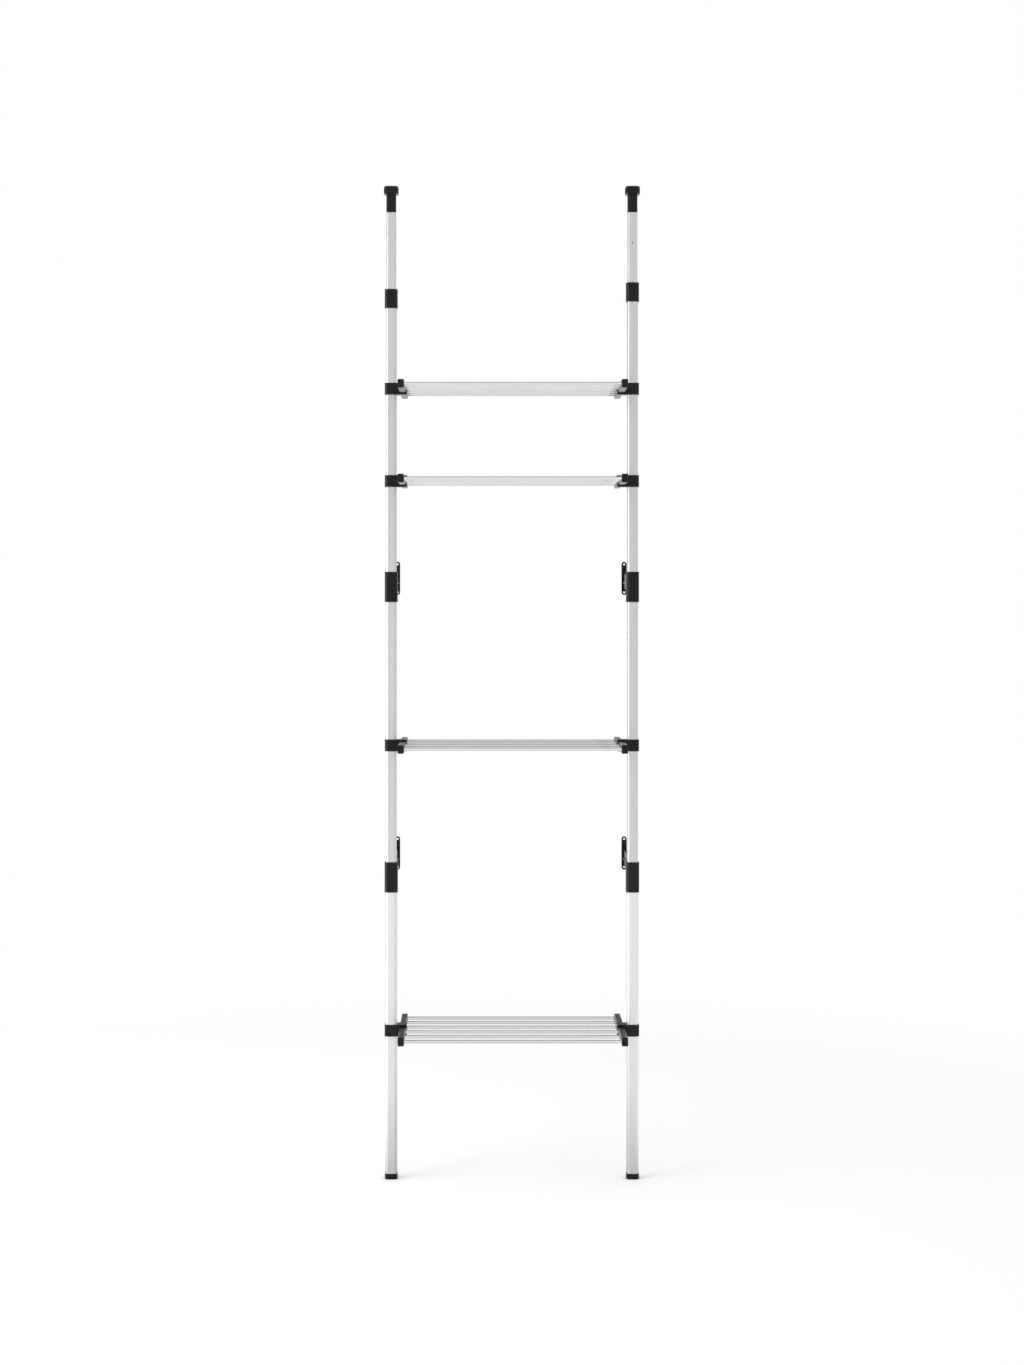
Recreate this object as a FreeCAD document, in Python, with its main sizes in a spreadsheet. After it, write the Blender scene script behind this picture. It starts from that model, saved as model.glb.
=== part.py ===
import FreeCAD, Part
import math
import operator
import os
import Sketcher
from FreeCAD import Vector

# Tension pole shelf unit: two telescopic aluminium poles wedged between floor and ceiling, tied
# back to the wall by four arms, with four tube shelves clamped between them.
# Origin: on the floor, under the centre of the unit's outline.  +X is to the right, +Z is up
# and the front faces -Y.  All sizes are in millimetres.

DRIVING_SIZES = {
    # poles
    "pole_spacing": 584.0,
    "pole_plane": -10.0,
    "bottom_tube_width": 28.2,
    "bottom_tube_corner": 7.5,
    "bottom_tube_length": 718.0,
    "middle_tube_length": 1600.0,
    "top_tube_length": 397.0,
    "tube_wall": 1.0,
    "running_gap": 0.3,
    "cross_pin_diameter": 4.0,
    "cross_pin_depth": 75.0,
    "cross_pin_setback": 0.2,
    "root_overlap": 1.0,
    # feet and glide plugs
    "foot_width": 30.6,
    "foot_height": 13.0,
    "foot_floor": 4.0,
    "plug_depth": 20.0,
    "plug_flange": 3.0,
    "plug_bore_depth": 14.0,
    "plug_wall": 2.5,
    # collars
    "wide_collar_width": 32.0,
    "narrow_collar_width": 31.2,
    "wall_collar_length": 73.0,
    "lower_collar_level": 729.0,
    "upper_collar_level": 1431.0,
    "lock_collar_length": 46.0,
    "lock_level_left": 2128.0,
    "lock_level_right": 2144.0,
    "collar_seat": 24.0,
    "boss_width": 14.0,
    "boss_depth": 6.0,
    "collar_edge_radius": 0.8,
    # dovetail tracks behind the wall collars
    "track_width": 18.0,
    "track_depth": 9.0,
    "track_mouth": 8.0,
    "track_floor_width": 12.0,
    "track_groove_depth": 5.0,
    "track_stop": 12.0,
    # grub screws
    "screw_diameter": 5.0,
    "screw_length": 6.0,
    "screw_key": 2.5,
    "screw_key_depth": 2.5,
    "screw_row": 6.5,
    # wall arms
    "wall_reach": 170.0,
    "upper_arm_level": 1441.0,
    "lower_arm_level": 755.0,
    "slider_height": 20.0,
    "slider_thickness": 5.0,
    "slider_width": 10.0,
    "arm_web": 4.4,
    "arm_end_rise": 25.0,
    "arm_end_drop": 15.0,
    "arm_flange_width": 9.0,
    "arm_flange_height": 3.0,
    "plate_width": 13.0,
    "plate_height": 83.0,
    "plate_thickness": 4.0,
    "plate_inset": 9.0,
    "plate_rise": 12.0,
    "plate_recess": 1.8,
    "plate_rim": 1.6,
    "wall_hole_spacing": 70.0,
    "wall_hole_diameter": 5.2,
    # ceiling plungers
    "ceiling_level": 2400.0,
    "pad_thickness": 3.0,
    "pad_inset": 1.2,
    "head_width": 35.0,
    "head_corner": 9.0,
    "head_height": 16.0,
    "head_edge_radius": 2.4,
    "stem_width": 23.4,
    "stem_length": 44.0,
    "shank_length": 135.0,
    "plunger_travel": 45.0,
    "spring_diameter": 15.0,
    "spring_wire": 1.8,
    "spring_turns": 28.0,
    "spring_closed_turns": 1.5,
    "spring_closed_pitch": 2.0,
    # shelves
    "shelf_level_one": 1910.0,
    "shelf_level_two": 1687.0,
    "shelf_level_three": 1048.0,
    "shelf_level_four": 359.0,
    "end_bar_length": 300.0,
    "end_bar_width": 15.0,
    "end_bar_height": 20.5,
    "end_bar_corner": 2.5,
    "end_bar_gap": 20.3,
    "end_bar_neck": 0.6,
    "shelf_tube_diameter": 8.0,
    "shelf_tube_wall": 0.8,
    "shelf_tube_pitch": 57.0,
    "socket_depth": 12.0,
    "clamp_height": 28.5,
    "clamp_reach": 37.8,
    "clamp_ledge": 1.65,
    "clamp_corner": 2.5,
}
SHELF_TUBES = 6
SHELF_WORDS = ("one", "two", "three", "four")
PLATE_PANELS = 3
COIL_STEPS = 16
PLACE_TOLERANCE = 1e-4
EDGE_REACH = 0.5
SMALLEST_CUT = 0.1
SIDES = {"left": -1, "right": 1}
PARTS_FOLDER = "parts"


class Size:
    """A length that carries both its value and the expression that binds it to the sheet."""

    SIGNS = {"+": operator.add, "-": operator.sub, "*": operator.mul, "/": operator.truediv}

    def __init__(self, value, text):
        self.value = value
        self.text = text

    @staticmethod
    def of(number):
        return number if isinstance(number, Size) else Size(float(number), str(number))

    @staticmethod
    def joined(first, sign, second):
        first, second = Size.of(first), Size.of(second)
        value = Size.SIGNS[sign](first.value, second.value)
        return Size(value, f"({first.text} {sign} {second.text})")

    def __add__(self, other):
        return Size.joined(self, "+", other)

    def __radd__(self, other):
        return Size.joined(other, "+", self)

    def __sub__(self, other):
        return Size.joined(self, "-", other)

    def __rsub__(self, other):
        return Size.joined(other, "-", self)

    def __mul__(self, other):
        return Size.joined(self, "*", other)

    def __rmul__(self, other):
        return Size.joined(other, "*", self)

    def __truediv__(self, other):
        return Size.joined(self, "/", other)

    def __neg__(self):
        return Size.joined(-1, "*", self)


class Sizes:
    """The driving dimensions, each an aliased cell of the document's spreadsheet."""

    def __init__(self, doc):
        self.sheet = doc.addObject("Spreadsheet::Sheet", "Sizes")
        for row, (name, number) in enumerate(DRIVING_SIZES.items(), start=1):
            self.sheet.set(f"A{row}", name)
            self.sheet.set(f"B{row}", str(number))
            self.sheet.setAlias(f"B{row}", name)
        doc.recompute()

    def __getattr__(self, name):
        return Size(float(self.sheet.getPropertyByName(name)), f"<<Sizes>>.{name}")


document = FreeCAD.newDocument("tension_pole_shelf_unit")
size = Sizes(document)

# Nested tube sections: each tube clears the one around it by the running gap.
nest_step = size.tube_wall + size.running_gap
middle_tube_width = size.bottom_tube_width - 2 * nest_step
middle_tube_corner = size.bottom_tube_corner - nest_step
top_tube_width = middle_tube_width - 2 * nest_step
top_tube_corner = middle_tube_corner - nest_step


# ---------------------------------------------------------------- sketch helpers

def new_sketch(body, plane, level=0):
    """Starts a sketch on one of the body's own planes, moved along the plane's normal."""
    sketch = body.newObject("Sketcher::SketchObject", body.Label + "_sketch")
    own_plane = next(f for f in body.Origin.OriginFeatures if f.Role == plane + "_Plane")
    sketch.AttachmentSupport = (own_plane, [""])
    sketch.MapMode = "FlatFace"
    sketch.setExpression("AttachmentOffset.Base.z", Size.of(level).text)
    return sketch


def constrain(sketch, *terms):
    """Adds a constraint whose last term is a Size, bound to the sheet."""
    wanted = Size.of(terms[-1])
    index = sketch.addConstraint(Sketcher.Constraint(*terms[:-1], wanted.value))
    sketch.setExpression(f"Constraints[{index}]", wanted.text)


def pin_point(sketch, curve, point, across=None, along=None):
    """Fixes one point of a curve, measured from the sketch's origin."""
    if across is not None:
        constrain(sketch, "DistanceX", -1, 1, curve, point, across)
    if along is not None:
        constrain(sketch, "DistanceY", -1, 1, curve, point, along)


def draw_polygon(sketch, corners):
    """A closed outline of straight lines through corners given as (across, along) sizes."""
    corners = [(Size.of(across), Size.of(along)) for across, along in corners]
    places = [Vector(across.value, along.value, 0) for across, along in corners]
    first = sketch.GeometryCount
    for number, (across, along) in enumerate(corners):
        end = places[(number + 1) % len(places)]
        sketch.addGeometry(Part.LineSegment(places[number], end), False)
        pin_point(sketch, first + number, 1, across, along)
    for number in range(len(corners)):
        following = first + (number + 1) % len(corners)
        sketch.addConstraint(Sketcher.Constraint("Coincident", first + number, 2, following, 1))


def draw_circle(sketch, across, along, diameter):
    across, along, diameter = Size.of(across), Size.of(along), Size.of(diameter)
    centre = Vector(across.value, along.value, 0)
    circle = Part.Circle(centre, Vector(0, 0, 1), diameter.value / 2)
    curve = sketch.addGeometry(circle, False)
    constrain(sketch, "Diameter", curve, diameter)
    pin_point(sketch, curve, 3, across, along)


def draw_rounded(sketch, left, right, low, high, corner):
    """A closed rectangle with four equal round corners."""
    left, right, low, high, corner = (Size.of(s) for s in (left, right, low, high, corner))
    radius = corner.value
    near = (left.value + radius, low.value + radius)
    far = (right.value - radius, high.value - radius)
    centres = [(far[0], near[1]), (far[0], far[1]), (near[0], far[1]), (near[0], near[1])]
    starts = [(near[0], low.value), (right.value, near[1]), (far[0], high.value), (left.value, far[1])]
    ends = [(far[0], low.value), (right.value, far[1]), (near[0], high.value), (left.value, near[1])]
    first = sketch.GeometryCount
    for turn in range(4):
        line = Part.LineSegment(Vector(*starts[turn], 0), Vector(*ends[turn], 0))
        circle = Part.Circle(Vector(*centres[turn], 0), Vector(0, 0, 1), radius)
        begin = (turn - 1) * math.pi / 2
        sketch.addGeometry(line, False)
        sketch.addGeometry(Part.ArcOfCircle(circle, begin, begin + math.pi / 2), False)
    for turn in range(4):
        line, arc = first + 2 * turn, first + 2 * turn + 1
        following = first + (2 * turn + 2) % 8
        sketch.addConstraint(Sketcher.Constraint("Tangent", line, 2, arc, 1))
        sketch.addConstraint(Sketcher.Constraint("Tangent", arc, 2, following, 1))
        sketch.addConstraint(Sketcher.Constraint("Vertical" if turn % 2 else "Horizontal", line))
        if turn:
            sketch.addConstraint(Sketcher.Constraint("Equal", first + 1, arc))
    constrain(sketch, "Radius", first + 1, corner)
    pin_point(sketch, first, 1, along=low)
    pin_point(sketch, first + 2, 1, across=right)
    pin_point(sketch, first + 4, 1, along=high)
    pin_point(sketch, first + 6, 1, across=left)


def draw_square(sketch, width, corner):
    """A rounded square about the sketch's origin, as the tubes' sections are."""
    half = width / 2
    draw_rounded(sketch, -half, half, -half, half, corner)


def draw_stadium(sketch, across, low, high, width):
    """An upright outline with round ends, whose end centres lie at low and high."""
    across, low, high, width = (Size.of(s) for s in (across, low, high, width))
    half = width.value / 2
    middle = across.value
    upright = Vector(0, 0, 1)
    top = Part.Circle(Vector(middle, high.value, 0), upright, half)
    bottom = Part.Circle(Vector(middle, low.value, 0), upright, half)
    right_foot, right_head = Vector(middle + half, low.value, 0), Vector(middle + half, high.value, 0)
    left_head, left_foot = Vector(middle - half, high.value, 0), Vector(middle - half, low.value, 0)
    first = sketch.GeometryCount
    sketch.addGeometry(Part.LineSegment(right_foot, right_head), False)
    sketch.addGeometry(Part.ArcOfCircle(top, 0, math.pi), False)
    sketch.addGeometry(Part.LineSegment(left_head, left_foot), False)
    sketch.addGeometry(Part.ArcOfCircle(bottom, math.pi, 2 * math.pi), False)
    for step in range(4):
        following = first + (step + 1) % 4
        sketch.addConstraint(Sketcher.Constraint("Tangent", first + step, 2, following, 1))
    sketch.addConstraint(Sketcher.Constraint("Vertical", first))
    sketch.addConstraint(Sketcher.Constraint("Equal", first + 1, first + 3))
    constrain(sketch, "Radius", first + 1, width / 2)
    pin_point(sketch, first + 1, 3, across, high)
    pin_point(sketch, first + 3, 3, along=low)


# ---------------------------------------------------------------- solid helpers

def new_body(label):
    return document.addObject("PartDesign::Body", label)


def place(body, across, depth, level, turn=0):
    """Puts a body at a place in the unit, turned about its own upright axis."""
    body.Placement = FreeCAD.Placement(Vector(), FreeCAD.Rotation(Vector(0, 0, 1), turn))
    for axis, distance in zip("xyz", (across, depth, level)):
        body.setExpression("Placement.Base." + axis, Size.of(distance).text)
    return body


def add_pad(body, sketch, length, symmetric=False, downwards=False):
    pad = body.newObject("PartDesign::Pad", body.Label + "_pad")
    pad.Profile = sketch
    pad.SideType = "Symmetric" if symmetric else "One side"
    pad.Reversed = downwards
    pad.setExpression("Length", length.text)
    return pad


def cut_pocket(body, sketch, length, symmetric=False, backwards=False):
    """Cuts a pocket and makes sure that it took material away."""
    document.recompute()
    volume_before = body.Shape.Volume
    pocket = body.newObject("PartDesign::Pocket", body.Label + "_pocket")
    pocket.Profile = sketch
    pocket.SideType = "Symmetric" if symmetric else "One side"
    pocket.Reversed = backwards
    pocket.setExpression("Length", length.text)
    document.recompute()
    if body.Shape.Volume > volume_before - SMALLEST_CUT:
        raise RuntimeError(pocket.Label + " cuts nothing")
    return pocket


def repeat_along(body, feature, direction, length, count):
    """A row of a feature along one axis of one of the body's origin axes."""
    row = body.newObject("PartDesign::LinearPattern", body.Label + "_row")
    row.Originals = [feature]
    row.Direction = (next(f for f in body.Origin.OriginFeatures if f.Role == direction + "_Axis"), [""])
    row.setExpression("Length", length.text)
    row.Occurrences = count
    body.Tip = row


def round_edges(body, radius, chosen):
    """Rounds the edges of the body's present shape for which chosen(edge) is true."""
    document.recompute()
    names = [f"Edge{n}" for n, edge in enumerate(body.Shape.Edges, start=1) if chosen(edge)]
    if not names:
        raise RuntimeError(body.Label + " has no edge to round")
    base = body.Tip
    fillet = body.newObject("PartDesign::Fillet", body.Label + "_fillet")
    fillet.Base = (base, names)
    fillet.setExpression("Radius", radius.text)
    document.recompute()


def lies_flat(edge, level):
    """True for an edge that lies wholly in the plane z = level of its body."""
    box = edge.BoundBox
    return abs(box.ZMin - level) < PLACE_TOLERANCE and abs(box.ZMax - level) < PLACE_TOLERANCE


def reaches(edge, half):
    """True for an edge that reaches as far as half from its body's upright axis, along X or Y."""
    box = edge.BoundBox
    return max(abs(box.XMin), abs(box.XMax), abs(box.YMin), abs(box.YMax)) > half.value - EDGE_REACH


# ---------------------------------------------------------------- poles

def tube(label, width, corner, length):
    """A length of extruded aluminium tube of rounded square section."""
    body = new_body(label)
    section = new_sketch(body, "XY")
    draw_square(section, width, corner)
    draw_square(section, width - 2 * size.tube_wall, corner - size.tube_wall)
    add_pad(body, section, length)
    return body


def glide_plug(label, width, corner):
    """A moulded plug in a tube's lower end, with a flange as wide as the tube below it."""
    body = new_body(label)
    flange = new_sketch(body, "XY")
    draw_square(flange, width, corner)
    add_pad(body, flange, size.plug_flange)
    inside = width - 2 * size.tube_wall
    spigot = new_sketch(body, "XY", size.plug_flange)
    draw_square(spigot, inside, corner - size.tube_wall)
    add_pad(body, spigot, size.plug_depth)
    hollow = new_sketch(body, "XY")
    draw_square(hollow, inside - 2 * size.plug_wall, (corner - size.tube_wall) / 2)
    cut_pocket(body, hollow, size.plug_bore_depth, backwards=True)
    return body


def foot_cap(label):
    """A black foot: a cup round the tube's end, with a hollow spigot up inside it."""
    body = new_body(label)
    lip = (size.foot_width - size.bottom_tube_width) / 2
    base = new_sketch(body, "XY")
    draw_square(base, size.foot_width, size.bottom_tube_corner + lip)
    add_pad(body, base, size.foot_floor)
    rim = new_sketch(body, "XY", size.foot_floor)
    draw_square(rim, size.foot_width, size.bottom_tube_corner + lip)
    draw_square(rim, size.bottom_tube_width, size.bottom_tube_corner)
    add_pad(body, rim, size.foot_height - size.foot_floor)
    inside = size.bottom_tube_width - 2 * size.tube_wall
    spigot = new_sketch(body, "XY", size.foot_floor)
    draw_square(spigot, inside, size.bottom_tube_corner - size.tube_wall)
    draw_square(spigot, inside - 2 * size.plug_wall, (size.bottom_tube_corner - size.tube_wall) / 2)
    add_pad(body, spigot, size.plug_depth)
    round_edges(
        body, size.collar_edge_radius, lambda edge: lies_flat(edge, 0) and reaches(edge, size.foot_width / 2))
    return body


def grub_screws(label, spots):
    """Socket set screws, one solid at each (across, depth of tip, level), pointing forwards."""
    body = new_body(label)
    for across, tip, level in spots:
        shank = new_sketch(body, "XZ", -tip)
        draw_circle(shank, across, level, size.screw_diameter)
        add_pad(body, shank, size.screw_length, downwards=True)
        socket = new_sketch(body, "XZ", -(tip + size.screw_length))
        half = size.screw_key / 2
        slope = half * math.tan(math.pi / 6)
        point = half / math.cos(math.pi / 6)
        hexagon = [
            (across + half, level + slope), (across, level + point), (across - half, level + slope),
            (across - half, level - slope), (across, level - point), (across + half, level - slope),
        ]
        draw_polygon(socket, hexagon)
        cut_pocket(body, socket, size.screw_key_depth, backwards=True)
    return body


# ---------------------------------------------------------------- collars

def collar_body(label, width, stages):
    """A rounded square sleeve built of stages, each (bore width, bore corner, length)."""
    body = new_body(label)
    level = Size.of(0)
    for bore_width, bore_corner, length in stages:
        ring = new_sketch(body, "XY", level)
        draw_square(ring, width, bore_corner + (width - bore_width) / 2)
        draw_square(ring, bore_width, bore_corner)
        add_pad(body, ring, length)
        level = level + length
    round_edges(
        body, size.collar_edge_radius,
        lambda edge: (lies_flat(edge, 0) or lies_flat(edge, level.value)) and reaches(edge, width / 2))
    return body


def add_back_boss(body, collar_width, width, depth, height):
    """A block on the sleeve's back that gives its screws and track something to bite in."""
    root = collar_width / 2 - size.root_overlap
    outline = new_sketch(body, "XY")
    face = collar_width / 2 + depth
    draw_polygon(outline, [(-width / 2, root), (width / 2, root), (width / 2, face), (-width / 2, face)])
    add_pad(body, outline, height)


def drill_back(body, level, depth):
    """A screw hole from the sleeve's axis out through its back."""
    hole = new_sketch(body, "XZ")
    draw_circle(hole, 0, level, size.screw_diameter)
    cut_pocket(body, hole, depth)


def running_bore(width, corner):
    """The bore in which a tube of this section slides."""
    return width + 2 * size.running_gap, corner + size.running_gap


def wall_collar(label, width, stages, screw_levels):
    """A tall collar with a dovetail track down its back for a wall arm."""
    body = collar_body(label, width, stages)
    add_back_boss(body, width, size.track_width, size.track_depth, size.wall_collar_length)
    groove = new_sketch(body, "XY", size.wall_collar_length)
    face = width / 2 + size.track_depth
    floor = face - size.track_groove_depth
    mouth, wide = size.track_mouth / 2, size.track_floor_width / 2
    draw_polygon(groove, [(-wide, floor), (wide, floor), (mouth, face), (-mouth, face)])
    cut_pocket(body, groove, size.wall_collar_length - size.track_stop)
    for level in screw_levels:
        drill_back(body, level, face)
    return body


def lock_collar(label):
    """The short collar on the middle tube's end, which guides and clamps the top tube."""
    guide_width, guide_corner = running_bore(top_tube_width, top_tube_corner)
    stages = [
        (middle_tube_width, middle_tube_corner, size.collar_seat),
        (guide_width, guide_corner, size.lock_collar_length - size.collar_seat),
    ]
    body = collar_body(label, size.narrow_collar_width, stages)
    add_back_boss(
        body, size.narrow_collar_width, size.boss_width, size.boss_depth, size.lock_collar_length)
    for level in lock_screw_levels:
        drill_back(body, level, size.narrow_collar_width / 2 + size.boss_depth)
    return body


# ---------------------------------------------------------------- wall arms

def wall_arm(label, collar_width, side):
    """An arm with a dovetail slider in front and an upright screw plate at the wall.

    Its origin is on the pole's axis, at the middle of the slider's height.
    """
    body = new_body(label)
    gap = size.running_gap
    # one and a half gaps along X leave the running gap square to the slanting flanks
    wide, mouth = size.track_floor_width / 2 - 1.5 * gap, size.track_mouth / 2 - 1.5 * gap
    block_start = collar_width / 2 + size.track_depth + gap
    tongue_start = block_start - size.track_groove_depth
    web_start = block_start + size.slider_thickness
    block = size.slider_width / 2
    slider = new_sketch(body, "XY", -size.slider_height / 2)
    draw_polygon(slider, [
        (-wide, tongue_start), (wide, tongue_start), (mouth, block_start), (block, block_start),
        (block, web_start), (-block, web_start), (-block, block_start), (-mouth, block_start),
    ])
    add_pad(body, slider, size.slider_height)

    plate_front = size.wall_reach - size.plate_thickness
    web_root, web_end = web_start - size.root_overlap, plate_front + size.plate_recess + size.root_overlap
    across = -side * size.plate_inset
    full_height = size.arm_end_rise + size.arm_end_drop
    web = new_sketch(body, "XY", -size.arm_end_drop)
    draw_polygon(web, slanted_strip(size.arm_web, across, web_root, web_end))
    add_pad(body, web, full_height)
    for sign, end_height in ((1, size.arm_end_rise), (-1, size.arm_end_drop)):
        taper = new_sketch(body, "YZ")
        draw_polygon(taper, [
            (block_start, sign * size.slider_height / 2), (web_start, sign * size.slider_height / 2),
            (plate_front, sign * end_height), (plate_front, sign * full_height),
            (block_start, sign * full_height),
        ])
        cut_pocket(body, taper, 4 * size.plate_inset, symmetric=True)
    flange = new_sketch(body, "XY")
    draw_polygon(flange, slanted_strip(size.arm_flange_width, across, web_root, web_end))
    add_pad(body, flange, size.arm_flange_height, symmetric=True)
    add_wall_plate(body, across)
    return body


def slanted_strip(width, across, start, end):
    """Plan outline of a strip that runs back from the pole's axis and ends off to one side."""
    half = width / 2
    return [(-half, start), (half, start), (across + half, end), (across - half, end)]


def add_wall_plate(body, across):
    """A round-ended plate with a ring round each screw hole and slanting ribs in between."""
    front = size.wall_reach - size.plate_thickness
    radius = size.plate_width / 2
    low = size.plate_rise - size.plate_height / 2 + radius
    high = size.plate_rise + size.plate_height / 2 - radius
    floor = new_sketch(body, "XZ", -size.wall_reach)
    draw_stadium(floor, across, low, high, size.plate_width)
    add_pad(body, floor, size.plate_thickness - size.plate_recess)

    ribs = new_sketch(body, "XZ", -front - size.plate_recess)
    draw_stadium(ribs, across, low, high, size.plate_width)
    inner = radius - size.plate_rim
    panels_low = size.plate_rise - size.wall_hole_spacing / 2 + radius + size.plate_rim
    panels_high = size.plate_rise + size.wall_hole_spacing / 2 - radius
    panel_height = (panels_high - panels_low) / PLATE_PANELS
    for number in range(PLATE_PANELS):
        lean = -1 if number % 2 else 1
        bottom = panels_low + number * panel_height
        top = bottom + panel_height - size.plate_rim
        start, end = across - lean * inner, across + lean * inner
        rim = size.plate_rim
        draw_polygon(ribs, [(start, bottom + rim), (end - lean * rim, top), (start, top)])
        draw_polygon(ribs, [(end, top - rim), (start + lean * rim, bottom), (end, bottom)])
    add_pad(body, ribs, size.plate_recess)

    holes = new_sketch(body, "XZ", -size.wall_reach)
    for sign in (-1, 1):
        level = size.plate_rise + sign * size.wall_hole_spacing / 2
        draw_circle(holes, across, level, size.wall_hole_diameter)
    cut_pocket(body, holes, size.plate_thickness, backwards=True)


# ---------------------------------------------------------------- ceiling plungers

def ceiling_plunger(label):
    """Head, stem and slotted shank in one moulding; its origin is on the stem's shoulder."""
    body = new_body(label)
    shank_width = top_tube_width - 2 * nest_step
    shank = new_sketch(body, "XY")
    draw_square(shank, shank_width, top_tube_corner - nest_step)
    add_pad(body, shank, size.shank_length, downwards=True)
    stem = new_sketch(body, "XY")
    draw_square(stem, size.stem_width, top_tube_corner + (size.stem_width - top_tube_width) / 2)
    add_pad(body, stem, size.stem_length)
    head = new_sketch(body, "XY", size.stem_length)
    draw_square(head, size.head_width, size.head_corner)
    add_pad(body, head, size.head_height)
    slot = new_sketch(body, "XZ")
    clearance = size.cross_pin_diameter + 2 * size.running_gap
    draw_stadium(slot, 0, -size.cross_pin_depth - size.plunger_travel, -size.cross_pin_depth, clearance)
    cut_pocket(body, slot, 2 * size.head_width, symmetric=True)
    for level in (size.stem_length, size.stem_length + size.head_height):
        round_edges(
            body, size.collar_edge_radius,
            lambda edge: lies_flat(edge, level.value) and reaches(edge, size.head_width / 2))
    return body


def ceiling_pad(label):
    """The rubber plate on the plunger's head, round at its upper edge."""
    body = new_body(label)
    outline = new_sketch(body, "XY")
    draw_square(outline, size.head_width - 2 * size.pad_inset, size.head_corner - size.pad_inset)
    add_pad(body, outline, size.pad_thickness)
    round_edges(body, size.head_edge_radius, lambda edge: lies_flat(edge, size.pad_thickness.value))
    return body


def cross_pin(label):
    """The pin through the top tube that keeps the plunger in; it lies along its own Y."""
    body = new_body(label)
    section = new_sketch(body, "XZ")
    draw_circle(section, 0, 0, size.cross_pin_diameter)
    add_pad(body, section, top_tube_width - 2 * size.cross_pin_setback, symmetric=True)
    return body


def tension_spring(label, length):
    """A compression spring with closed ends; its origin is at the lower end of the coil's axis."""
    wire, turns = size.spring_wire.value, size.spring_turns.value
    closed, closed_pitch = size.spring_closed_turns.value, size.spring_closed_pitch.value
    radius = size.spring_diameter.value / 2
    open_pitch = (length.value - wire - 2 * closed * closed_pitch) / (turns - 2 * closed)
    points = []
    for step in range(int(turns * COIL_STEPS) + 1):
        turn = step / COIL_STEPS
        open_turns = min(max(turn - closed, 0), turns - 2 * closed)
        level = wire / 2 + open_turns * open_pitch + (turn - open_turns) * closed_pitch
        angle = 2 * math.pi * turn
        points.append(Vector(radius * math.cos(angle), radius * math.sin(angle), level))
    coil = Part.BSplineCurve()
    coil.interpolate(points)
    section = Part.Wire(Part.makeCircle(wire / 2, points[0], coil.tangent(coil.FirstParameter)[0]))
    feature = document.addObject("Part::Feature", label)
    feature.Shape = Part.Wire(coil.toShape()).makePipeShell([section], True, True)
    return feature


# ---------------------------------------------------------------- shelves

def end_bar(label, side):
    """A black end bar along Y, with six blind sockets in the face towards the shelf's middle."""
    body = new_body(label)
    across, tall = size.end_bar_width / 2, size.end_bar_height / 2
    section = new_sketch(body, "XZ")
    draw_rounded(section, -across, across, -tall, tall, size.end_bar_corner)
    add_pad(body, section, size.end_bar_length, symmetric=True)
    neck = new_sketch(body, "XZ")
    cut = size.end_bar_neck
    draw_polygon(neck, [
        (-2 * across, -2 * tall), (2 * across, -2 * tall), (2 * across, 2 * tall), (-2 * across, 2 * tall)])
    draw_rounded(neck, cut - across, across - cut, cut - tall, tall - cut, size.end_bar_corner - cut)
    cut_pocket(body, neck, size.wide_collar_width + 2 * size.running_gap, symmetric=True)
    socket = new_sketch(body, "YZ", -side * across)
    first_socket = -size.shelf_tube_pitch * (SHELF_TUBES - 1) / 2
    draw_circle(socket, first_socket, 0, size.shelf_tube_diameter)
    pocket = cut_pocket(body, socket, size.socket_depth, backwards=side > 0)
    repeat_along(body, pocket, "Y", size.shelf_tube_pitch * (SHELF_TUBES - 1), SHELF_TUBES)
    end = size.end_bar_length.value / 2
    round_edges(
        body, size.collar_edge_radius,
        lambda edge: abs(abs(edge.BoundBox.YMin) - end) + edge.BoundBox.YLength < PLACE_TOLERANCE)
    return body


def shelf_clamp(label, tube_width, tube_corner, collar_width, side):
    """A collar round the pole with a square loop on its inner side that holds the end bar.

    Its origin is on the pole's axis, at mid height.
    """
    body = new_body(label)
    bore_width, bore_corner = running_bore(tube_width, tube_corner)
    half, half_height = collar_width / 2, size.clamp_height / 2
    ring = new_sketch(body, "XY", -half_height)
    draw_square(ring, collar_width, bore_corner + (collar_width - bore_width) / 2)
    add_pad(body, ring, size.clamp_height)
    inward = -side
    tip = inward * size.clamp_reach
    loop = new_sketch(body, "XY", -half_height)
    draw_polygon(loop, [(0, -half), (tip, -half), (tip, half), (0, half)])
    add_pad(body, loop, size.clamp_height)
    round_edges(
        body, size.clamp_corner,
        lambda edge: edge.BoundBox.ZLength > EDGE_REACH and reaches(edge, size.clamp_reach))
    round_edges(
        body, size.collar_edge_radius,
        lambda edge: lies_flat(edge, half_height.value) or lies_flat(edge, -half_height.value))

    root, face = half - size.root_overlap, half + size.boss_depth
    boss = new_sketch(body, "XY", -half_height)
    width = size.boss_width / 2
    draw_polygon(boss, [(-width, root), (width, root), (width, face), (-width, face)])
    add_pad(body, boss, size.clamp_height)
    bore = new_sketch(body, "XY", half_height)
    draw_square(bore, bore_width, bore_corner)
    cut_pocket(body, bore, size.clamp_height)

    cut = size.end_bar_neck
    near = inward * (size.end_bar_gap + cut)
    far = inward * (size.end_bar_gap + size.end_bar_width - cut)
    tall = size.end_bar_height / 2 - cut
    low = tall - size.clamp_ledge
    opening = new_sketch(body, "XZ")
    draw_polygon(opening, [
        (inward * half, -low), (near, -low), (near, -tall), (far, -tall),
        (far, tall), (near, tall), (near, low), (inward * half, low),
    ])
    cut_pocket(body, opening, 2 * collar_width, symmetric=True)
    drill_back(body, 0, face)
    return body


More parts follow.
